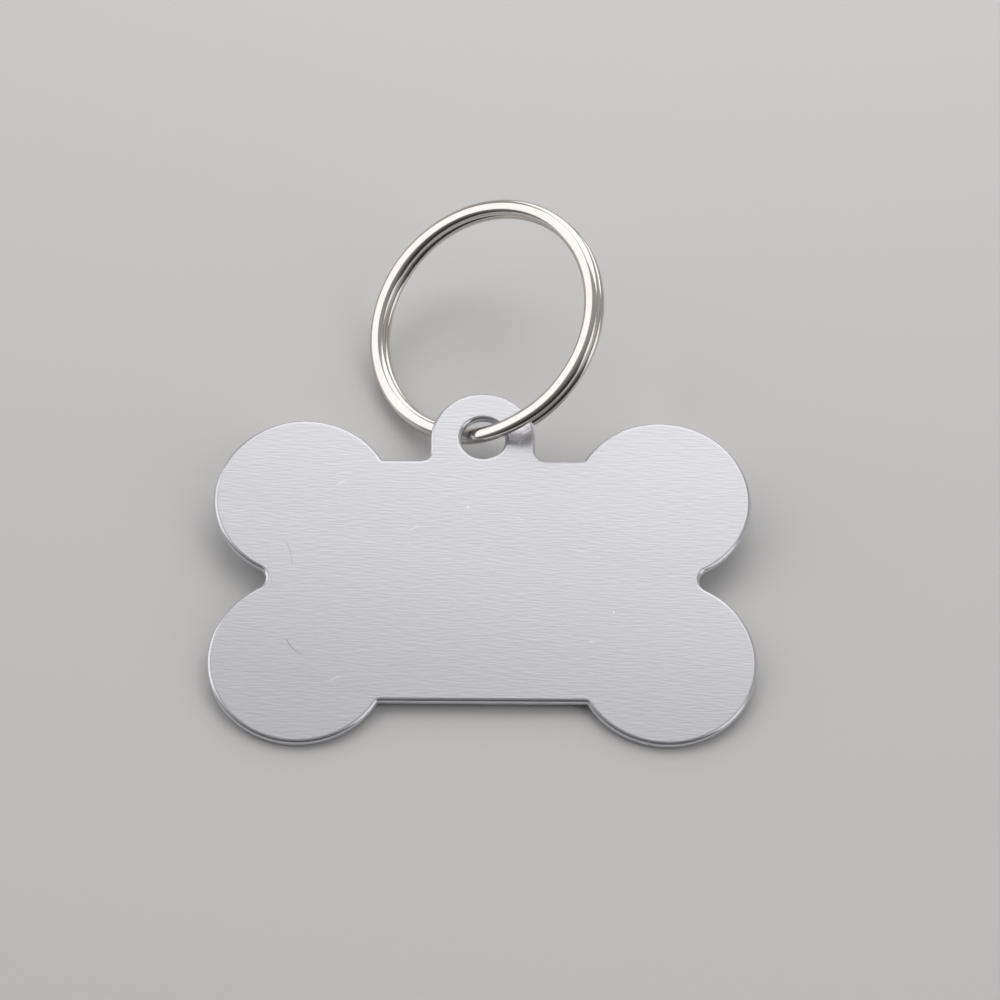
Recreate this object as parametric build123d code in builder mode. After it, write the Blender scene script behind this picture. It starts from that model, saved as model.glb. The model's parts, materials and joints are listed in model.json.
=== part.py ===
from build123d import *
import os
from math import asin, atan2, cos, degrees, hypot, pi, radians, sin, sqrt

# A bone-shaped pet tag on its split ring, as it lies on a table.
# Lengths are millimetres and angles degrees. The table is z = 0, +X runs along the bone
# and +Y from the bone towards the ring.

# Tag plate: four lobes, a straight waist on each long side, and a round tab with the hole for the ring
lobe_radius = 8.34
waist_inset = 4.19  # how far the waist's edge lies inside the lobes' edge
waist_corner_radius = 0.3  # where the waist runs into a lobe
notch_radius = 1.1  # between the two lobes at each end of the bone
shoulder_length = 3.5  # straight edge on each side of the tab
tab_corner_radius = 1.0  # where the tab rises from the shoulder
tab_rim = 2.86  # metal left round the hole
hole_offset = 2.36  # from the waist's edge out to the hole's centre
plate_thickness = 0.9
edge_rounding = 0.2  # tumbled edges of both faces and of the hole

# Split ring: one wire in two turns, with a jog from the lower turn to the upper one at the hole
ring_outer_diameter = 24.4
wire_width = 1.5  # along the ring's radius
wire_height = 0.9  # along the ring's axis
wire_corner_radius = 0.3
corner_limit = 0.45  # the corners' radius is at most this share of the wire's thinner side
turn_gap = 0.06  # between the two turns, which touch on the real ring

# Fits
hole_clearance = 0.3  # room in the hole beside the slanting wire
wire_offset = 0.65  # the wire lies this far from the hole's centre, towards the end of the tab
end_clearance = 0.6  # between the wire's cut ends and the faces of the plate

# How the ring lies: its slope to the table, how far its low point is turned from -X towards
# the bone, and how far it has slid along +X from the middle of the tab
ring_lean = 31.4
ring_heading = 27.4
ring_shift = 0.2

# Ring sizes that follow
wire_radius = ring_outer_diameter / 2 - wire_width / 2  # middle of the wire
turn_pitch = wire_height + turn_gap
wire_corner = min(wire_corner_radius, corner_limit * min(wire_width, wire_height))
flat_width = wire_width / 2 - wire_corner
flat_height = wire_height / 2 - wire_corner

# The ring stands on the outer lower edge of its lower turn
lean = radians(ring_lean)
heading = radians(ring_heading)
ring_normal = Vector(-sin(lean) * cos(heading), -sin(lean) * sin(heading), cos(lean))
to_hole = Vector(0, -ring_normal.Z, ring_normal.Y).normalized()
wire_run = ring_normal.cross(to_hole)  # along the wire where it goes through the hole
ring_height = (
    (wire_radius + flat_width) * sin(lean) + (turn_pitch / 2 + flat_height) * cos(lean) + wire_corner
)
wire_height_at_hole = ring_height + wire_radius * to_hole.Z

# The plate leans on the wire at its hole and on the edges of its two far lobes
lobe_y = lobe_radius  # the two lobes at each end touch
waist_y = lobe_y + lobe_radius - waist_inset
hole_y = waist_y + hole_offset
wire_y = hole_y + wire_offset
far_edge = lobe_y + lobe_radius - edge_rounding
half_web = plate_thickness / 2 - edge_rounding
reach = wire_y + far_edge
plate_tilt = asin((wire_height_at_hole - edge_rounding) / hypot(reach, half_web)) - atan2(half_web, reach)
tag_y = Vector(0, cos(plate_tilt), sin(plate_tilt))
tag_normal = Vector(0, -sin(plate_tilt), cos(plate_tilt))

# The origin is under the middle of the whole object
near_end = reach * cos(plate_tilt) + half_web * sin(plate_tilt) + edge_rounding
far_end = (
    -wire_radius * to_hole.Y
    + (wire_radius + flat_width) * sqrt(1 - ring_normal.Y**2)
    + (turn_pitch / 2 + flat_height) * abs(ring_normal.Y)
    + wire_corner
)
pivot = Vector(ring_shift, (near_end - far_end) / 2, wire_height_at_hole)  # middle of the wire in the hole
ring_centre = pivot - to_hole * wire_radius
bone_centre = pivot - tag_y * wire_y - Vector(ring_shift, 0, 0)
hole_centre = bone_centre + tag_y * hole_y
tag_plane = Plane(origin=bone_centre, x_dir=(1, 0, 0), z_dir=tag_normal)
ring_plane = Plane(origin=ring_centre, x_dir=to_hole, z_dir=ring_normal)

# The wire's ends lie clear of the plate, and the jog runs from one to the other
ring_slope = asin(wire_run.dot(tag_normal))  # of the ring's plane to the plate, across the hole
end_rise = plate_thickness / 2 + end_clearance + (turn_pitch + wire_height) / 2 / cos(ring_slope)
end_angle = asin(end_rise / sin(ring_slope) / wire_radius)
jog_slope = atan2(turn_pitch * pi / 4, wire_radius * end_angle)
wire_slope = ring_slope + jog_slope
passage = (wire_height + plate_thickness * cos(wire_slope)) / sin(wire_slope) + hole_clearance
hole_diameter = 2 * hypot(wire_offset + wire_width / 2, passage / 2)
tab_radius = hole_diameter / 2 + tab_rim
lobe_x = (
    tab_radius + tab_corner_radius + shoulder_length + sqrt(lobe_radius**2 - (waist_y - lobe_y) ** 2)
)


def touch(centre, radius, other):
    """Point of the circle at centre that faces the point other."""
    along = (Vector(other) - Vector(centre)).normalized()
    return Vector(centre) + along * radius


def wire_section(angle, height):
    """Plane across the wire, angle radians round from the hole and height above the ring's middle plane."""
    radial = ring_plane.x_dir * cos(angle) + ring_plane.y_dir * sin(angle)
    along = ring_plane.y_dir * cos(angle) - ring_plane.x_dir * sin(angle)
    origin = ring_centre + radial * wire_radius + ring_normal * height
    return Plane(origin=origin, x_dir=radial, z_dir=along)


# Tag plate: one half of the outline from the tab's end round to the middle of the far waist,
# then its mirror image
lobe = (lobe_x, lobe_y)
far_lobe = (lobe_x, -lobe_y)
notch = (lobe_x + sqrt((lobe_radius + notch_radius) ** 2 - lobe_y**2), 0)
corner_y = waist_y + waist_corner_radius
corner_x = lobe_x - sqrt((lobe_radius + waist_corner_radius) ** 2 - (corner_y - lobe_y) ** 2)
corner = (corner_x, corner_y)
far_corner = (corner_x, -corner_y)

with BuildPart() as tag_plate:
    with BuildSketch(tag_plane.offset(-plate_thickness / 2)):
        with BuildLine():
            tab_end = CenterArc((0, hole_y), tab_radius, 90, -90)
            tab_side = Line(tab_end @ 1, (tab_radius, waist_y + tab_corner_radius))
            tab_corner = RadiusArc(
                tab_side @ 1, (tab_radius + tab_corner_radius, waist_y), -tab_corner_radius
            )
            shoulder = Line(tab_corner @ 1, (corner_x, waist_y))
            lobe_start = touch(lobe, lobe_radius, corner)
            RadiusArc(shoulder @ 1, lobe_start, -waist_corner_radius)
            lobe_end = touch(lobe, lobe_radius, notch)
            ThreePointArc(lobe_start, touch(lobe, lobe_radius, (2 * lobe_x, 2 * lobe_y)), lobe_end)
            far_lobe_start = touch(far_lobe, lobe_radius, notch)
            ThreePointArc(lobe_end, (notch[0] - notch_radius, 0), far_lobe_start)
            far_lobe_end = touch(far_lobe, lobe_radius, far_corner)
            ThreePointArc(
                far_lobe_start, touch(far_lobe, lobe_radius, (2 * lobe_x, -2 * lobe_y)), far_lobe_end
            )
            RadiusArc(far_lobe_end, (corner_x, -waist_y), -waist_corner_radius)
            Line((corner_x, -waist_y), (0, -waist_y))
            mirror(about=Plane.YZ)
        make_face()
        with Locations((0, hole_y)):
            Circle(hole_diameter / 2, mode=Mode.SUBTRACT)
    extrude(amount=plate_thickness)
    faces = tag_plate.faces().sort_by(Axis(tag_plane.origin, tag_normal))
    fillet(faces[0].edges() + faces[-1].edges(), edge_rounding)
tag_plate.part.label = "tag_plate"

# Split ring: the lower turn runs from its cut end right of the hole round to the jog, and the
# upper turn from the jog round to its cut end left of the hole
turn_arc = 360 - 2 * degrees(end_angle)
turn_starts = [wire_section(end_angle, side * turn_pitch / 2) for side in (-1, 1)]
jog_steps = [i / 4 for i in range(-4, 5)]
jog_sections = [wire_section(s * end_angle, turn_pitch / 2 * sin(s * pi / 2)) for s in jog_steps]

with BuildPart() as split_ring:
    for start in turn_starts:
        with BuildSketch(start):
            RectangleRounded(wire_width, wire_height, wire_corner)
        revolve(axis=Axis(ring_centre, ring_normal), revolution_arc=turn_arc)
    for section in jog_sections:
        with BuildSketch(section):
            RectangleRounded(wire_width, wire_height, wire_corner)
    loft()
split_ring.part.label = "split_ring"

os.makedirs("parts", exist_ok=True)
export_step(tag_plate.part, "parts/tag_plate.step")
export_step(split_ring.part, "parts/split_ring.step")

# Overall sizes, how the pieces lie, and the point that the ring swings round on the table
print(f"bone {2 * (lobe_x + lobe_radius):.2f} by {2 * (lobe_y + lobe_radius):.2f}")
print(f"hole {hole_diameter:.2f}, tab {2 * tab_radius:.2f}")
print(f"plate tilt {degrees(plate_tilt):.2f}, ring to plate {degrees(ring_slope):.2f}")
print(f"wire ends {degrees(end_angle):.1f} degrees from the hole, gap between the turns {turn_gap:.2f}")
print(f"hole centre {hole_centre}")
print(f"ring centre {ring_centre}, ring normal {ring_normal}")
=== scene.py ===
"""A bone-shaped pet tag on its split ring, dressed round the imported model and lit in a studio."""

import json
import logging
from dataclasses import dataclass
from enum import Enum
from math import acos, atan2, ceil, cos, degrees, hypot, pi, radians, sin, sqrt
from typing import Any

import bpy
from mathutils import Matrix, Vector
from mathutils.geometry import delaunay_2d_cdt


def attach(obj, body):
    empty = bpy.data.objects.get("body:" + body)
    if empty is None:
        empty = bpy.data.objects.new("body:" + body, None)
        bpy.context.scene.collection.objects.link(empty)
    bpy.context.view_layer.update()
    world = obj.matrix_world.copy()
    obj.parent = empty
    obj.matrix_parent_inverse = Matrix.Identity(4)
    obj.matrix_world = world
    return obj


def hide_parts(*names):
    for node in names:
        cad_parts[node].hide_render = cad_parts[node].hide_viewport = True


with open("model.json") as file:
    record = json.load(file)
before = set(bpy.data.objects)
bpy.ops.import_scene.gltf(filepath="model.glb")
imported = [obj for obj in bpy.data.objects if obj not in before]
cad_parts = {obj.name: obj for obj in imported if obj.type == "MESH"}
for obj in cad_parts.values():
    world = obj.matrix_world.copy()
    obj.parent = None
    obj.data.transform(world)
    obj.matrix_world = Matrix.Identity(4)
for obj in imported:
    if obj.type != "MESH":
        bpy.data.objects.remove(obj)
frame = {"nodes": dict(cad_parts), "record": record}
log = logging.getLogger("pet_tag")

MM = 0.001


class Body(Enum):
    """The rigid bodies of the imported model."""

    TAG = "tag"
    RING = "ring"


class Slot(Enum):
    """The material slots of the record."""

    ALUMINIUM = "brushed_aluminium"
    NICKEL = "polished_nickel"


def linear(code: str) -> tuple[float, float, float, float]:
    """Turns an sRGB hex colour into linear light.

    Args:
        code: Six hex digits, two for each of red, green and blue.

    Returns:
        Linear red, green and blue, and an alpha of 1.
    """
    shares = [int(code[i : i + 2], 16) / 255 for i in (0, 2, 4)]
    # The standard's curve: straight near black, then a power
    r, g, b = (s / 12.92 if s <= 0.04045 else ((s + 0.055) / 1.055) ** 2.4 for s in shares)
    return r, g, b, 1.0


def add_node(
    tree: bpy.types.NodeTree,
    kind: str,
    settings: dict[str, Any] | None = None,
    inputs: dict[int | str, Any] | None = None,
) -> bpy.types.Node:
    """Adds a node to a tree, with its settings, values and links.

    Args:
        tree: The tree that the node joins.
        kind: Blender's name for the node's type.
        settings: The node's own properties by name.
        inputs: A value, or a socket to link, for each input by index or name.

    Returns:
        The new node.
    """
    node = tree.nodes.new(kind)
    for name, value in (settings or {}).items():
        setattr(node, name, value)
    for key, value in (inputs or {}).items():
        if isinstance(value, bpy.types.NodeSocket):
            tree.links.new(value, node.inputs[key])
        else:
            node.inputs[key].default_value = value
    return node


def new_material(name: str) -> tuple[bpy.types.Material, bpy.types.NodeTree]:
    """Makes an empty node material.

    Args:
        name: The material's name.

    Returns:
        The material and its node tree.
    """
    material = bpy.data.materials.new(name)
    material.use_nodes = True
    material.node_tree.nodes.clear()
    return material, material.node_tree


def link_to_scene(name: str, mesh: bpy.types.Mesh) -> bpy.types.Object:
    """Puts a mesh into the scene as an object at the origin.

    Args:
        name: The object's name.
        mesh: Its mesh, already in the row frame.

    Returns:
        The new object.
    """
    piece = bpy.data.objects.new(name, mesh)
    bpy.context.scene.collection.objects.link(piece)
    return piece


@dataclass(frozen=True)
class Hairline:
    """A fine bowed scratch on the front of the plate, in plate millimetres.

    Its turn is in degrees from the bone's length. Its ends lie off the straight by the bow. Its
    lightness is added to the metal's colour, and is negative for a dark scratch.
    """

    middle: tuple[float, float]
    length: float
    turn: float
    bow: float
    lightness: float


@dataclass(frozen=True)
class BrushedAluminium:
    """Aluminium sheet, brushed along the bone, with its cut edges tumbled bright.

    The brushing gives fine grooves, painted light and dark by their slopes, and a soft sheen that
    spreads across them; the tumbled edges are smoother and catch the light as a thin white line.
    """

    colour: str = "DBDCE2"
    # The shaded side of the painted slope shading; the colour above is its lit side
    painted_slope_shade: str = "CFD0D6"
    metallic: float = 0.75  # the rest scatters in the scratches, so the sheet is never black
    roughness: float = 0.27
    edge_roughness: float = 0.13
    spread: float = 0.45  # how far the sheen is drawn out across the brushing

    # Streaks, in millimetres. The real ones lie about 0.03 mm apart, which is too fine to show in
    # the picture, so they are drawn as coarse as they need to be.
    streak_width: float = 0.13
    streak_length: float = 1.4
    streak_turn: float = -2.6  # degrees from the bone's length
    streak_depth: float = 0.0006
    painted_shading_range: float = 0.4  # rise from streak to streak that turns painted shade into painted light

    def material(self, plate: "TagPlate") -> bpy.types.Material:
        """Builds the finish in the plate's own frame.

        Args:
            plate: The plate that is dressed, which gives the frame and the edge mask.

        Returns:
            The material.
        """
        material, tree = new_material("aluminium_sheet_brushed")
        place = add_node(tree, "ShaderNodeTexCoord").outputs["Object"]
        flat = add_node(
            tree,
            "ShaderNodeMapping",
            {"vector_type": "TEXTURE"},
            {0: place, 1: plate.centre, 2: (plate.tilt, 0, 0), 3: (MM, MM, MM)},
        ).outputs[0]
        grain = add_node(
            tree,
            "ShaderNodeMapping",
            {"vector_type": "TEXTURE"},
            {
                0: flat,
                2: (0, 0, radians(self.streak_turn)),
                3: (self.streak_length, self.streak_width, 1),
            },
        ).outputs[0]

        # Painted shading: each streak is coloured light or dark by how it slopes to the next one
        beside = add_node(
            tree, "ShaderNodeVectorMath", {"operation": "ADD"}, {0: grain, 1: (0, 1, 0)}
        ).outputs[0]
        height, height_beside = [
            add_node(
                tree,
                "ShaderNodeTexNoise",
                {"noise_dimensions": "2D"},
                {"Vector": spot, "Scale": 1.0, "Detail": 0.0},
            ).outputs["Fac"]
            for spot in (grain, beside)
        ]
        slope = add_node(
            tree, "ShaderNodeMath", {"operation": "SUBTRACT"}, {0: height, 1: height_beside}
        ).outputs[0]
        painted_slope_shading = add_node(
            tree, "ShaderNodeMapRange", {}, {0: slope, 1: -self.painted_shading_range, 2: self.painted_shading_range}
        ).outputs[0]
        tone = add_node(
            tree,
            "ShaderNodeMix",
            {"data_type": "RGBA"},
            {0: painted_slope_shading, 6: linear(self.painted_slope_shade), 7: linear(self.colour)},
        ).outputs[2]
        marks = self._marks(tree, flat, plate)
        colour = add_node(
            tree,
            "ShaderNodeMix",
            {"data_type": "RGBA", "blend_type": "ADD", "clamp_result": True},
            {0: 1.0, 6: tone, 7: marks},
        ).outputs[2]

        # The tumbled edges are smoother and have lost the brushing
        edge = add_node(
            tree, "ShaderNodeAttribute", {"attribute_name": plate.EDGE_MASK}
        ).outputs["Fac"]
        roughness = add_node(
            tree,
            "ShaderNodeMix",
            {"data_type": "FLOAT"},
            {0: edge, 2: self.roughness, 3: self.edge_roughness},
        ).outputs[0]
        brushed = add_node(
            tree, "ShaderNodeMath", {"operation": "SUBTRACT"}, {0: 1.0, 1: edge}
        ).outputs[0]
        normal = add_node(
            tree,
            "ShaderNodeBump",
            {},
            {"Strength": brushed, "Distance": self.streak_depth * MM, "Height": height},
        ).outputs[0]
        tangent = add_node(
            tree, "ShaderNodeTangent", {"direction_type": "UV_MAP", "uv_map": plate.UV}
        ).outputs[0]
        shader = add_node(
            tree,
            "ShaderNodeBsdfPrincipled",
            {},
            {
                "Base Color": colour,
                "Metallic": self.metallic,
                "Roughness": roughness,
                "Anisotropic": self.spread,
                "Tangent": tangent,
                "Normal": normal,
            },
        )
        add_node(tree, "ShaderNodeOutputMaterial", {}, {"Surface": shader.outputs[0]})
        return material

    def _marks(
        self, tree: bpy.types.NodeTree, flat: bpy.types.NodeSocket, plate: "TagPlate"
    ) -> bpy.types.NodeSocket:
        """Adds the hairline scratches to a tree.

        Args:
            tree: The finish's node tree.
            flat: The place on the plate in millimetres.
            plate: The plate, which lists its hairlines.

        Returns:
            What the scratches add to the colour.
        """
        total: bpy.types.NodeSocket | float = 0.0
        for line in plate.hairlines:
            across = add_node(
                tree,
                "ShaderNodeMapping",
                {"vector_type": "TEXTURE"},
                {0: flat, 1: (*line.middle, 0), 2: (0, 0, radians(line.turn))},
            ).outputs[0]
            parts = add_node(tree, "ShaderNodeSeparateXYZ", {}, {0: across})
            share = add_node(
                tree,
                "ShaderNodeMath",
                {"operation": "DIVIDE"},
                {0: parts.outputs[0], 1: line.length / 2},
            ).outputs[0]
            square = add_node(
                tree, "ShaderNodeMath", {"operation": "MULTIPLY"}, {0: share, 1: share}
            ).outputs[0]
            bowed = add_node(
                tree,
                "ShaderNodeMath",
                {"operation": "MULTIPLY_ADD"},
                {0: square, 1: line.bow, 2: parts.outputs[1]},
            ).outputs[0]
            distance = add_node(
                tree, "ShaderNodeMath", {"operation": "ABSOLUTE"}, {0: bowed}
            ).outputs[0]
            inside = add_node(
                tree,
                "ShaderNodeMapRange",
                {"interpolation_type": "SMOOTHSTEP"},
                {0: distance, 1: 0.0, 2: plate.HAIRLINE_WIDTH, 3: 1.0, 4: 0.0},
            ).outputs[0]
            fade = add_node(
                tree,
                "ShaderNodeMapRange",
                {"interpolation_type": "SMOOTHSTEP"},
                {0: square, 1: plate.HAIRLINE_FADE, 2: 1.0, 3: line.lightness, 4: 0.0},
            ).outputs[0]
            total = add_node(
                tree,
                "ShaderNodeMath",
                {"operation": "MULTIPLY_ADD"},
                {0: inside, 1: fade, 2: total},
            ).outputs[0]

        # They are on the front alone
        height = add_node(tree, "ShaderNodeSeparateXYZ", {}, {0: flat}).outputs[2]
        front = add_node(
            tree, "ShaderNodeMath", {"operation": "GREATER_THAN"}, {0: height, 1: 0.0}
        ).outputs[0]
        return add_node(
            tree, "ShaderNodeMath", {"operation": "MULTIPLY"}, {0: total, 1: front}
        ).outputs[0]


@dataclass(frozen=True)
class PolishedNickel:
    """Spring-steel wire, nickel plated and polished.

    Nickel is a warm white metal; the polish leaves it a mirror, with faint drawing lines along the
    wire that soften the reflections a little.
    """

    colour: str = "DCD9D6"
    edge_colour: str = "C9BDB0"
    roughness: float = 0.11
    smoothest: float = 0.7  # shares of the roughness, between which the lines change it
    roughest: float = 1.4

    # Drawing lines, in millimetres. The real ones are a few hundredths apart, which is too fine to
    # show in the picture, so they are drawn as coarse as they need to be.
    line_spacing: float = 0.12
    line_length: float = 6.0
    line_depth: float = 0.0012
    line_detail: float = 2.0
    line_raggedness: float = 0.55
    line_range: tuple[float, float] = (0.3, 0.7)  # the part of the noise that is used

    def material(self, ring: "SplitRing") -> bpy.types.Material:
        """Builds the finish along the ring's wire.

        Args:
            ring: The ring that is dressed, which gives the attributes along and round the wire.

        Returns:
            The material.
        """
        material, tree = new_material("spring_steel_nickel_polished")
        along = add_node(
            tree, "ShaderNodeAttribute", {"attribute_name": ring.ALONG}
        ).outputs["Fac"]
        around = add_node(
            tree, "ShaderNodeAttribute", {"attribute_name": ring.AROUND}
        ).outputs["Vector"]
        run = add_node(
            tree, "ShaderNodeMath", {"operation": "DIVIDE"}, {0: along, 1: self.line_length * MM}
        ).outputs[0]
        parts = add_node(tree, "ShaderNodeSeparateXYZ", {}, {0: around})
        lines_round = ring.wire_width / 2 / (self.line_spacing * MM)
        wide, high = (
            add_node(
                tree, "ShaderNodeMath", {"operation": "MULTIPLY"}, {0: axis, 1: lines_round}
            ).outputs[0]
            for axis in (parts.outputs[0], parts.outputs[1])
        )
        spot = add_node(tree, "ShaderNodeCombineXYZ", {}, {0: wide, 1: high, 2: run}).outputs[0]
        lines = add_node(
            tree,
            "ShaderNodeTexNoise",
            {},
            {
                "Vector": spot,
                "Scale": 1.0,
                "Detail": self.line_detail,
                "Roughness": self.line_raggedness,
            },
        ).outputs["Fac"]
        roughness = add_node(
            tree,
            "ShaderNodeMapRange",
            {},
            {
                0: lines,
                1: self.line_range[0],
                2: self.line_range[1],
                3: self.roughness * self.smoothest,
                4: self.roughness * self.roughest,
            },
        ).outputs[0]
        normal = add_node(
            tree,
            "ShaderNodeBump",
            {},
            {"Strength": 1.0, "Distance": self.line_depth * MM, "Height": lines},
        ).outputs[0]
        shader = add_node(
            tree,
            "ShaderNodeBsdfPrincipled",
            {},
            {
                "Base Color": linear(self.colour),
                "Metallic": 1.0,
                "Roughness": roughness,
                "Specular Tint": linear(self.edge_colour),
                "Normal": normal,
            },
        )
        add_node(tree, "ShaderNodeOutputMaterial", {}, {"Surface": shader.outputs[0]})
        return material


@dataclass(frozen=True)
class Arc:
    """One arc of the plate's outline, from its start through its sweep, in degrees.

    A hollow arc has the metal outside it, as in a corner, a notch or a hole.
    """

    centre: tuple[float, float]
    radius: float
    start: float
    sweep: float
    hollow: bool = False

    CHORD_ERROR = 0.0008  # millimetres
    WIDEST_STEP = 6.0  # degrees

    def walk(self) -> list[tuple[Vector, Vector]]:
        """Walks the arc in even steps.

        Returns:
            Points along the arc, each with the direction out of the metal.
        """
        fine = 2 * degrees(acos(1 - self.CHORD_ERROR / self.radius))
        count = max(2, ceil(abs(self.sweep) / min(fine, self.WIDEST_STEP)))
        side = -1 if self.hollow else 1
        found = []
        for i in range(count + 1):
            angle = radians(self.start + self.sweep * i / count)
            ray = Vector((cos(angle), sin(angle)))
            found.append((Vector(self.centre) + ray * self.radius, ray * side))
        return found


@dataclass
class TagPlate:
    """The bone-shaped plate with its tab and hole, in millimetres in its own plane."""

    lobe_radius: float = 8.34
    waist_inset: float = 4.19
    waist_corner_radius: float = 0.3
    notch_radius: float = 1.1
    tab_corner_radius: float = 1.0
    tab_radius: float = 4.93
    hole_radius: float = 2.07
    hole_offset: float = 2.36
    edge_rounding: float = 0.40
    rounding_steps: int = 6
    finish: BrushedAluminium = BrushedAluminium()
    hairlines: tuple[Hairline, ...] = (
        Hairline((-17.7, 2.5), 2.7, -76, 0.2, -0.12),
        Hairline((-17.3, -7.2), 2.4, -47, -0.25, -0.25),
        Hairline((-13.3, -10.2), 1.1, 30, 0.1, 0.2),
        Hairline((-13.2, 10.0), 1.3, 34, 0.1, 0.12),
        Hairline((-6.4, 5.2), 1.1, 30, 0.0, 0.12),
        Hairline((-1.4, 7.4), 0.25, 8, 0.0, 0.4),
        Hairline((3.5, 6.2), 0.8, -45, 0.05, 0.12),
        Hairline((12.0, -3.4), 0.25, 60, 0.0, 0.4),
        Hairline((9.9, -6.4), 0.2, 0, 0.0, 0.3),
        # The four by the hole are rub marks from the ring, lit partly as a painted reflection of it
        Hairline((3.45, 14.35), 0.6, 70, 0.03, 0.3),
        Hairline((2.5, 15.0), 0.8, -70, 0.06, 0.3),
        Hairline((4.15, 15.6), 1.4, 32, 0.05, 0.25),
        Hairline((3.2, 15.2), 0.9, 20, 0.1, -0.2),
    )

    NODE = "tag_plate"
    EDGE_MASK = "tumbled_edge"
    UV = "across_brushing"
    HAIRLINE_WIDTH = 0.08  # from a scratch's middle to where it ends
    HAIRLINE_FADE = 0.5  # a scratch fades from this share of its half length squared
    SHEET_STEP = 1.5  # between the points inside the flat faces
    SHEET_MARGIN = 0.5  # between those points and the rounded edges
    SAME_POINT = 0.0001  # where one arc ends and the next starts
    MERGE_LIMIT = 1e-6
    INSIDE_RIMS = 1  # keeps the triangles between the rims

    def __post_init__(self) -> None:
        """Reads the plate's plane and overall size from its node in the frame."""
        mesh = frame["nodes"][self.NODE].data
        normal = max(mesh.polygons, key=lambda p: p.area).normal.copy()
        self.normal = normal if normal.z > 0 else -normal
        self.tilt = atan2(-self.normal.y, self.normal.z)
        self.up = Vector((0, cos(self.tilt), sin(self.tilt)))
        spots = [v.co for v in mesh.vertices]
        wide = [p.x for p in spots]
        tall = [p.dot(self.up) for p in spots]
        thick = [p.dot(self.normal) for p in spots]
        self.thickness = (max(thick) - min(thick)) / MM
        self.lobe_x = (max(wide) - min(wide)) / 2 / MM - self.lobe_radius
        low = min(tall) + 2 * self.lobe_radius * MM
        self.centre = self.up * low + self.normal * (max(thick) + min(thick)) / 2

    @property
    def waist_y(self) -> float:
        """Height of the straight waist above the middle of the bone."""
        return 2 * self.lobe_radius - self.waist_inset

    @property
    def hole_y(self) -> float:
        """Height of the hole's centre above the middle of the bone."""
        return self.waist_y + self.hole_offset

    def _half_outline(self) -> list[Arc]:
        """Works out the right half of the outline.

        Returns:
            Its arcs, from the end of the tab round to the far waist.
        """
        lobe_y = self.lobe_radius
        corner_y = self.waist_y + self.waist_corner_radius
        corner_reach = self.lobe_radius + self.waist_corner_radius
        corner_x = self.lobe_x - sqrt(corner_reach**2 - (corner_y - lobe_y) ** 2)
        notch_reach = self.lobe_radius + self.notch_radius
        notch_x = self.lobe_x + sqrt(notch_reach**2 - lobe_y**2)
        to_lobe = degrees(atan2(lobe_y - corner_y, self.lobe_x - corner_x))
        to_notch = degrees(atan2(-lobe_y, notch_x - self.lobe_x))
        tab_corner = (
            self.tab_radius + self.tab_corner_radius,
            self.waist_y + self.tab_corner_radius,
        )
        lobe_sweep = to_notch - (180 + to_lobe)
        upper = [
            Arc((corner_x, corner_y), self.waist_corner_radius, -90, 90 + to_lobe, True),
            Arc((self.lobe_x, lobe_y), self.lobe_radius, 180 + to_lobe, lobe_sweep),
        ]
        notch = Arc((notch_x, 0), self.notch_radius, 180 + to_notch, -2 * to_notch, True)
        lower = [
            Arc((self.lobe_x, -lobe_y), self.lobe_radius, -to_notch, lobe_sweep),
            Arc((corner_x, -corner_y), self.waist_corner_radius, -to_lobe, 90 + to_lobe, True),
        ]
        return [
            Arc((0, self.hole_y), self.tab_radius, 90, -90),
            Arc(tab_corner, self.tab_corner_radius, 180, 90, True),
            *upper,
            notch,
            *lower,
        ]

    def outline(self) -> list[tuple[Vector, Vector]]:
        """Walks the right half of the outline and back along its mirror image.

        Returns:
            The closed outline's points, each with the direction out of the metal.
        """
        right = [step for arc in self._half_outline() for step in arc.walk()]
        left = [(Vector((-p.x, p.y)), Vector((-n.x, n.y))) for p, n in reversed(right[1:])]
        loop = right + left
        before = [loop[-1], *loop[:-1]]
        return [
            step
            for step, last in zip(loop, before)
            if (step[0] - last[0]).length > self.SAME_POINT
        ]

    def hole(self) -> list[tuple[Vector, Vector]]:
        """Gives the hole's points, each with the direction out of the metal."""
        return Arc((0, self.hole_y), self.hole_radius, 90, 360, True).walk()[:-1]

    def _edge_profile(self) -> list[tuple[float, float, float, float]]:
        """Works out the section of the rounded edge, from the front to the back.

        Returns:
            The inset, the height, and the normal's outward and upward shares at each step.
        """
        half_web = self.thickness / 2 - self.edge_rounding
        turns = [pi / 2 * i / self.rounding_steps for i in range(self.rounding_steps + 1)]
        front = [(sin(a), cos(a), half_web) for a in turns]
        back = [(out, -up, -web) for out, up, web in reversed(front)]
        return [
            (self.edge_rounding * (1 - out), web + self.edge_rounding * up, out, up)
            for out, up, web in front + back
        ]

    def _holds(self, x: float, y: float) -> bool:
        """Tells whether a point of the sheet is well inside the outline and clear of the hole.

        Args:
            x: The point's place along the bone.
            y: Its place across the bone.

        Returns:
            Whether it is.
        """
        margin = self.SHEET_MARGIN + self.edge_rounding
        if hypot(x, y - self.hole_y) < self.hole_radius + margin:
            return False
        lobe = hypot(abs(x) - self.lobe_x, abs(y) - self.lobe_radius) < self.lobe_radius - margin
        middle = abs(x) < self.lobe_x and abs(y) < self.waist_y - margin
        tab = abs(x) < self.tab_radius - margin and 0 < y < self.hole_y
        tab_end = hypot(x, y - self.hole_y) < self.tab_radius - margin
        return lobe or middle or tab or tab_end

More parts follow.
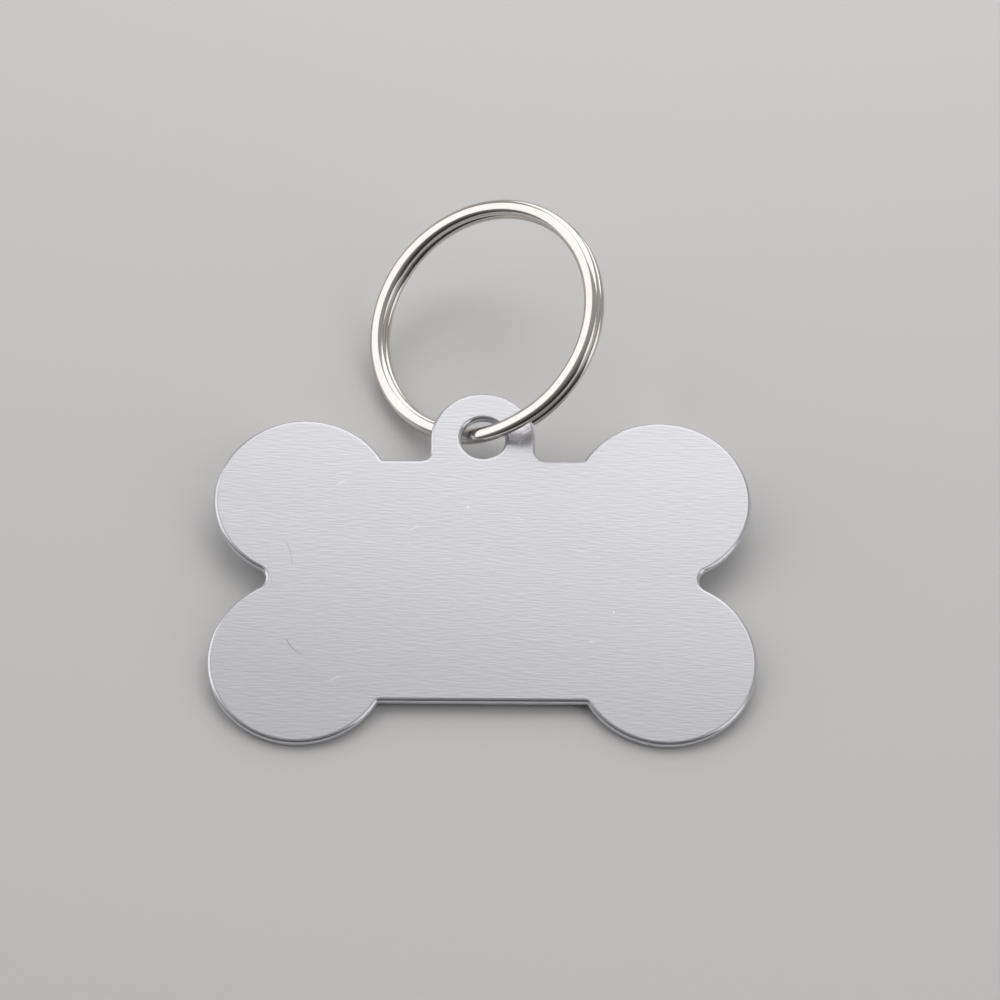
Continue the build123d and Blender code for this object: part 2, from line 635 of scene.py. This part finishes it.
    def _add_sheet(
        self,
        rims: list[list[int]],
        height: float,
        way: int,
        spots: list[tuple[float, float, float]],
        faces: list[tuple[int, ...]],
    ) -> None:
        """Fills one flat face of the plate between its rims with even triangles.

        Args:
            rims: The outline's and the hole's points by index.
            height: The face's height above the plate's middle.
            way: 1 for a face that looks up, -1 for one that looks down.
            spots: All points so far, which the face's own points join.
            faces: All faces so far, which the triangles join.
        """
        index = [i for rim in rims for i in rim]
        flat = [Vector(spots[i][:2]) for i in index]
        edges, first = [], 0
        for rim in rims:
            edges += [(first + i, first + (i + 1) % len(rim)) for i in range(len(rim))]
            first += len(rim)
        reach = ceil((self.lobe_x + self.lobe_radius) / self.SHEET_STEP)
        steps = [i * self.SHEET_STEP for i in range(-reach, reach + 1)]
        for x, y in ((x, y) for x in steps for y in steps if self._holds(x, y)):
            index.append(len(spots))
            flat.append(Vector((x, y)))
            spots.append((x, y, height))
        _, _, triangles, origins, _, _ = delaunay_2d_cdt(
            flat, edges, [], self.INSIDE_RIMS, self.MERGE_LIMIT
        )
        hole_rim = set(rims[-1])
        for corners in triangles:
            face = [index[origins[i][0]] for i in corners]
            if not hole_rim.issuperset(face):
                faces.append(tuple(face[::way]))

    def mesh(self) -> bpy.types.Mesh:
        """Builds the plate with evenly rounded edges and exact normals.

        Returns:
            The mesh in the row frame, with its edge mask and a map whose u runs across the
            brushing.
        """
        profile = self._edge_profile()
        rows = len(profile)
        spots: list[tuple[float, float, float]] = []
        normals: list[Vector] = []
        edge: list[float] = []
        faces: list[tuple[int, ...]] = []
        rims: list[list[int]] = []
        for loop in (self.outline(), self.hole()):
            first, count = len(spots), len(loop)
            for point, out in loop:
                for inset, height, share_out, share_up in profile:
                    at = point - out * inset
                    spots.append((at.x, at.y, height))
                    normals.append(Vector((out.x * share_out, out.y * share_out, share_up)))
                    edge.append(share_out)
            for i in range(count):
                here, there = first + i * rows, first + (i + 1) % count * rows
                for j in range(rows - 1):
                    faces.append((here + j, there + j, there + j + 1, here + j + 1))
            rims.append([first + i * rows for i in range(count)])
        for height, step, way in ((self.thickness / 2, 0, 1), (-self.thickness / 2, rows - 1, -1)):
            self._add_sheet([[i + step for i in rim] for rim in rims], height, way, spots, faces)
        added = len(spots) - len(normals)
        normals += [Vector((0, 0, 1))] * (added // 2) + [Vector((0, 0, -1))] * (added // 2)
        edge += [0.0] * added
        mesh = bpy.data.meshes.new(self.NODE)
        mesh.from_pydata(spots, [], faces)
        mesh.polygons.foreach_set("use_smooth", [True] * len(mesh.polygons))
        mesh.attributes.new(self.EDGE_MASK, "FLOAT", "POINT").data.foreach_set("value", edge)
        across = mesh.uv_layers.new(name=self.UV)
        width = 2 * (self.lobe_x + self.lobe_radius)
        for corner in mesh.loops:
            x, y, _ = spots[corner.vertex_index]
            across.data[corner.index].uv = (0.5 + y / width, 0.5 - x / width)
        mesh.normals_split_custom_set_from_vertices(normals)
        place = Matrix((Vector((1, 0, 0)), self.up, self.normal)).transposed().to_4x4()
        mesh.transform(Matrix.Translation(self.centre) @ place @ Matrix.Scale(MM, 4))
        return mesh

    def build(self) -> bpy.types.Object:
        """Builds and dresses the plate.

        Returns:
            The plate's object, riding on the tag.
        """
        mesh = self.mesh()
        mesh.materials.append(self.finish.material(self))
        piece = link_to_scene("bone_plate", mesh)
        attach(piece, Body.TAG.value)
        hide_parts(self.NODE)
        return piece


@dataclass
class SplitRing:
    """The wire ring: two turns joined by a jog at the hole, in metres."""

    wire_width: float = 1.5 * MM
    wire_height: float = 0.9 * MM
    swell: float = 0.02 * MM  # how far the crowned sides stand out past the solid's flat ones
    power_of_width: float = 2.3  # a gently crowned top between round sides
    power_of_height: float = 2.0
    end_angle: float = radians(23.6)  # from the hole round to each cut end
    steps_along: int = 720
    steps_round: int = 64
    finish: PolishedNickel = PolishedNickel()

    NODE = "split_ring"
    ALONG = "wire_along"
    AROUND = "wire_around"
    SHARP_ANGLE = radians(40)  # keeps the rims of the cut ends crisp

    def __post_init__(self) -> None:
        """Reads the ring's place and size from its mount in the frame."""
        loop = next(m for m in frame["record"]["mounts"] if m["name"] == "ring_loop")
        self.centre = Vector(loop["pos_m"])
        self.axis = Vector(loop["axis"]).normalized()
        self.to_hole = Vector((0, -self.axis.z, self.axis.y)).normalized()
        self.wire_radius = loop["dims"]["r_mm"] * MM + self.wire_width / 2
        self.turn_pitch = loop["dims"]["length_mm"] * MM - self.wire_height

    def _tree(self, material: bpy.types.Material) -> bpy.types.NodeTree:
        """Builds the tree that sweeps the wire round its two turns.

        Args:
            material: The wire's finish.

        Returns:
            The tree, with an input for each size.
        """
        tree = bpy.data.node_groups.new("split_ring_wire", "GeometryNodeTree")
        face = tree.interface
        face.new_socket("Wire", in_out="OUTPUT", socket_type="NodeSocketGeometry")
        for name in self.sizes():
            kind = "NodeSocketInt" if name.startswith("Steps") else "NodeSocketFloat"
            face.new_socket(name, in_out="INPUT", socket_type=kind)
        size = add_node(tree, "NodeGroupInput").outputs

        # The path: an angle that runs from one cut end to the other, and the jog's rise
        line = add_node(tree, "GeometryNodeCurvePrimitiveLine", {}, {"End": (1, 0, 0)}).outputs[0]
        path = add_node(
            tree, "GeometryNodeResampleCurve", {}, {"Curve": line, "Count": size["Steps along"]}
        ).outputs[0]
        share = add_node(tree, "GeometryNodeSplineParameter").outputs["Factor"]
        angle = add_node(
            tree,
            "ShaderNodeMapRange",
            {},
            {0: share, 1: 0.0, 2: 1.0, 3: size["Start angle"], 4: size["Stop angle"]},
        ).outputs[0]
        rise = add_node(
            tree,
            "ShaderNodeMapRange",
            {},
            {0: angle, 1: size["Jog start"], 2: size["Jog stop"], 3: -pi / 2, 4: pi / 2},
        ).outputs[0]
        lift = add_node(tree, "ShaderNodeMath", {"operation": "SINE"}, {0: rise}).outputs[0]
        half_pitch = add_node(
            tree, "ShaderNodeMath", {"operation": "MULTIPLY"}, {0: size["Turn pitch"], 1: 0.5}
        ).outputs[0]
        turned = {
            name: add_node(tree, "ShaderNodeMath", {"operation": name}, {0: angle}).outputs[0]
            for name in ("COSINE", "SINE")
        }
        x, y = (
            add_node(
                tree, "ShaderNodeMath", {"operation": "MULTIPLY"}, {0: way, 1: size["Wire radius"]}
            ).outputs[0]
            for way in turned.values()
        )
        z = add_node(
            tree, "ShaderNodeMath", {"operation": "MULTIPLY"}, {0: lift, 1: half_pitch}
        ).outputs[0]
        spot = add_node(tree, "ShaderNodeCombineXYZ", {}, {0: x, 1: y, 2: z}).outputs[0]
        coil = add_node(
            tree, "GeometryNodeSetPosition", {}, {"Geometry": path, "Position": spot}
        ).outputs[0]
        coil = add_node(
            tree, "GeometryNodeSetCurveNormal", {"mode": "Z_UP"}, {"Curve": coil}
        ).outputs[0]
        run = add_node(tree, "GeometryNodeSplineParameter").outputs["Length"]
        coil = add_node(
            tree,
            "GeometryNodeStoreNamedAttribute",
            {"data_type": "FLOAT", "domain": "POINT"},
            {"Geometry": coil, "Name": self.ALONG, "Value": run},
        ).outputs[0]

        # The section: a circle squared up to the wire's width and height
        circle = add_node(
            tree,
            "GeometryNodeCurvePrimitiveCircle",
            {},
            {"Resolution": size["Steps round"], "Radius": 1.0},
        ).outputs[0]
        ray = add_node(tree, "GeometryNodeInputPosition").outputs[0]
        circle = add_node(
            tree,
            "GeometryNodeStoreNamedAttribute",
            {"data_type": "FLOAT_VECTOR", "domain": "POINT"},
            {"Geometry": circle, "Name": self.AROUND, "Value": ray},
        ).outputs[0]
        parts = add_node(tree, "ShaderNodeSeparateXYZ", {}, {0: ray}).outputs
        sides = []
        for part, side in ((parts[0], "width"), (parts[1], "height")):
            share = add_node(
                tree, "ShaderNodeMath", {"operation": "ABSOLUTE"}, {0: part}
            ).outputs[0]
            power = add_node(
                tree,
                "ShaderNodeMath",
                {"operation": "DIVIDE"},
                {0: 2.0, 1: size[f"Power of {side}"]},
            ).outputs[0]
            reach = add_node(
                tree, "ShaderNodeMath", {"operation": "POWER"}, {0: share, 1: power}
            ).outputs[0]
            way = add_node(tree, "ShaderNodeMath", {"operation": "SIGN"}, {0: part}).outputs[0]
            half = add_node(
                tree,
                "ShaderNodeMath",
                {"operation": "MULTIPLY"},
                {0: size[f"Wire {side}"], 1: 0.5},
            ).outputs[0]
            signed = add_node(
                tree, "ShaderNodeMath", {"operation": "MULTIPLY"}, {0: reach, 1: way}
            ).outputs[0]
            scaled = add_node(
                tree, "ShaderNodeMath", {"operation": "MULTIPLY"}, {0: signed, 1: half}
            ).outputs[0]
            sides.append(scaled)
        stretched = add_node(
            tree, "ShaderNodeCombineXYZ", {}, {0: sides[0], 1: sides[1]}
        ).outputs[0]
        section = add_node(
            tree, "GeometryNodeSetPosition", {}, {"Geometry": circle, "Position": stretched}
        ).outputs[0]

        # The sweep, with both cut ends closed
        wire = add_node(
            tree,
            "GeometryNodeCurveToMesh",
            {},
            {"Curve": coil, "Profile Curve": section, "Fill Caps": True},
        ).outputs[0]
        wire = add_node(tree, "GeometryNodeSetShadeSmooth", {}, {"Geometry": wire}).outputs[0]
        wire = add_node(tree, "GeometryNodeRealizeInstances", {}, {"Geometry": wire}).outputs[0]
        wire = add_node(
            tree, "GeometryNodeSetMaterial", {}, {"Geometry": wire, "Material": material}
        ).outputs[0]
        add_node(tree, "NodeGroupOutput", {}, {"Wire": wire})
        return tree

    def sizes(self) -> dict[str, float | int]:
        """Lists the sizes that the tree takes.

        Returns:
            Each input's value by its name.
        """
        return {
            "Steps along": self.steps_along,
            "Steps round": self.steps_round,
            "Wire radius": self.wire_radius,
            "Wire width": self.wire_width + 2 * self.swell,
            "Wire height": self.wire_height + 2 * self.swell,
            "Power of width": self.power_of_width,
            "Power of height": self.power_of_height,
            "Turn pitch": self.turn_pitch,
            "Start angle": self.end_angle,
            "Stop angle": 4 * pi - self.end_angle,
            "Jog start": 2 * pi - self.end_angle,
            "Jog stop": 2 * pi + self.end_angle,
        }

    def mesh(self, material: bpy.types.Material) -> bpy.types.Mesh:
        """Runs the tree and puts the wire where the ring lies.

        Args:
            material: The wire's finish.

        Returns:
            The ring's mesh in the row frame.
        """
        tree = self._tree(material)
        holder = link_to_scene("wire_holder", bpy.data.meshes.new("wire_holder"))
        modifier = holder.modifiers.new("wire", "NODES")
        modifier.node_group = tree
        for item in tree.interface.items_tree:
            if item.in_out == "INPUT":
                modifier[item.identifier] = self.sizes()[item.name]
        graph = bpy.context.evaluated_depsgraph_get()
        mesh = bpy.data.meshes.new_from_object(holder.evaluated_get(graph), depsgraph=graph)
        bpy.data.objects.remove(holder)
        mesh.set_sharp_from_angle(angle=self.SHARP_ANGLE)
        across = self.axis.cross(self.to_hole)
        place = Matrix((self.to_hole, across, self.axis)).transposed().to_4x4()
        mesh.transform(Matrix.Translation(self.centre) @ place)
        return mesh

    def build(self) -> bpy.types.Object:
        """Builds and dresses the ring.

        Returns:
            The ring's object, riding on the ring's body.
        """
        mesh = self.mesh(self.finish.material(self))
        mesh.name = self.NODE
        piece = link_to_scene("wire_ring", mesh)
        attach(piece, Body.RING.value)
        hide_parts(self.NODE)
        return piece


@dataclass(frozen=True)
class Softbox:
    """A soft rectangular lamp: where it stands, its size, and the brightness of its face."""

    name: str
    at: tuple[float, float, float]
    size: tuple[float, float]
    brightness: float

    def build(self, aim: Vector) -> bpy.types.Object:
        """Stands the lamp up and turns it to the object.

        Args:
            aim: The point that it faces.

        Returns:
            The lamp's object.
        """
        lamp = bpy.data.lights.new(self.name, "AREA")
        lamp.shape = "RECTANGLE"
        lamp.size, lamp.size_y = self.size
        lamp.energy = self.brightness * pi * self.size[0] * self.size[1]
        stand = bpy.data.objects.new(self.name, lamp)
        stand.location = self.at
        stand.rotation_euler = (aim - Vector(self.at)).to_track_quat("-Z", "Y").to_euler()
        bpy.context.scene.collection.objects.link(stand)
        return stand


@dataclass
class Studio:
    """The pale floor, the lamps, the room and the camera."""

    floor_colour: str = "E6E6E6"
    floor_roughness: float = 0.7
    floor_side: float = 2.4
    cove: str = "CECCCA"
    cove_ends: tuple[float, float] = (0.08, 0.16)  # sines of the elevations where it fades
    room_front: str = "383635"
    room_back: str = "A8A5A3"
    room_way: tuple[float, float, float] = (0.0, 0.8, 0.25)  # from the front to the back
    room_fade: tuple[float, float] = (-0.5, 0.35)  # along that way, from one tone to the other
    softboxes: tuple[Softbox, ...] = (
        Softbox("softbox_back", (0.04, 0.213, 0.199), (0.30, 0.34), 1.15),
        Softbox("softbox_left", (-0.50, 0.19, 0.31), (0.50, 0.60), 1.0),
        Softbox("softbox_right", (0.45, -0.20, 0.33), (0.30, 0.55), 1.0),
    )

    # The camera, from the picture's perspective
    CAMERA_TARGET = Vector((1.603, -2.504, 3.181)) * MM
    CAMERA_DISTANCE = 318.9 * MM
    CAMERA_AZIMUTH = radians(-1.396)
    CAMERA_ELEVATION = radians(55.114)
    CAMERA_ROLL = radians(1.557)
    FOCAL_SHARE = 3.422  # focal length as a share of the picture's side
    SENSOR = 36.0

    def build(self) -> None:
        """Builds everything that isn't the object."""
        self._floor()
        self._room()
        for softbox in self.softboxes:
            softbox.build(self.CAMERA_TARGET)
        self._camera()
        bpy.context.scene.view_settings.view_transform = "Standard"

    def _floor(self) -> None:
        """Lays a plain pale floor under the object."""
        half = self.floor_side / 2
        mesh = bpy.data.meshes.new("floor")
        corners = [(-half, -half, 0), (half, -half, 0), (half, half, 0), (-half, half, 0)]
        mesh.from_pydata(corners, [], [(0, 1, 2, 3)])
        material, tree = new_material("floor_matt_pale")
        shader = add_node(
            tree,
            "ShaderNodeBsdfPrincipled",
            {},
            {"Base Color": linear(self.floor_colour), "Roughness": self.floor_roughness},
        )
        add_node(tree, "ShaderNodeOutputMaterial", {}, {"Surface": shader.outputs[0]})
        mesh.materials.append(material)
        link_to_scene("floor", mesh)

    def _room(self) -> None:
        """Lights the room: a pale cove round the floor, and walls that darken to the front."""
        world = bpy.data.worlds.new("room")
        world.use_nodes = True
        tree = world.node_tree
        tree.nodes.clear()
        way = add_node(tree, "ShaderNodeTexCoord").outputs["Generated"]
        depth = add_node(
            tree, "ShaderNodeVectorMath", {"operation": "DOT_PRODUCT"}, {0: way, 1: self.room_way}
        ).outputs["Value"]
        share = add_node(
            tree,
            "ShaderNodeMapRange",
            {"interpolation_type": "SMOOTHSTEP"},
            {0: depth, 1: self.room_fade[0], 2: self.room_fade[1]},
        ).outputs[0]
        tone = add_node(
            tree,
            "ShaderNodeMix",
            {"data_type": "RGBA"},
            {0: share, 6: linear(self.room_front), 7: linear(self.room_back)},
        ).outputs[2]
        height = add_node(tree, "ShaderNodeSeparateXYZ", {}, {0: way}).outputs[2]
        low = add_node(
            tree,
            "ShaderNodeMapRange",
            {"interpolation_type": "SMOOTHSTEP"},
            {0: height, 1: self.cove_ends[0], 2: self.cove_ends[1], 3: 1.0, 4: 0.0},
        ).outputs[0]
        colour = add_node(
            tree,
            "ShaderNodeMix",
            {"data_type": "RGBA"},
            {0: low, 6: tone, 7: linear(self.cove)},
        ).outputs[2]
        background = add_node(tree, "ShaderNodeBackground", {}, {0: colour, 1: 1.0})
        add_node(tree, "ShaderNodeOutputWorld", {}, {"Surface": background.outputs[0]})
        bpy.context.scene.world = world

    def _camera(self) -> None:
        """Sets the camera where the picture was taken from."""
        a, e, r = self.CAMERA_AZIMUTH, self.CAMERA_ELEVATION, self.CAMERA_ROLL
        back = Vector((sin(a) * cos(e), -cos(a) * cos(e), sin(e)))
        level = Vector((0, 0, 1)).cross(back).normalized()
        upright = back.cross(level)
        right = level * cos(r) + upright * sin(r)
        up = upright * cos(r) - level * sin(r)
        data = bpy.data.cameras.new("camera")
        data.sensor_width = self.SENSOR
        data.lens = self.FOCAL_SHARE * self.SENSOR
        camera = bpy.data.objects.new("camera", data)
        eye = self.CAMERA_TARGET + back * self.CAMERA_DISTANCE
        turn = Matrix((right, up, back)).transposed().to_4x4()
        camera.matrix_world = Matrix.Translation(eye) @ turn
        bpy.context.scene.collection.objects.link(camera)
        bpy.context.scene.camera = camera


def main() -> None:
    """Builds the tag, the ring and the studio, in that order."""
    logging.basicConfig(level=logging.INFO, format="%(message)s")
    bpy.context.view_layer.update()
    for maker in (TagPlate(), SplitRing()):
        piece = maker.build()
        log.info("%s: %d faces", piece.name, len(piece.data.polygons))
    Studio().build()


if __name__ == "__main__":
    main()
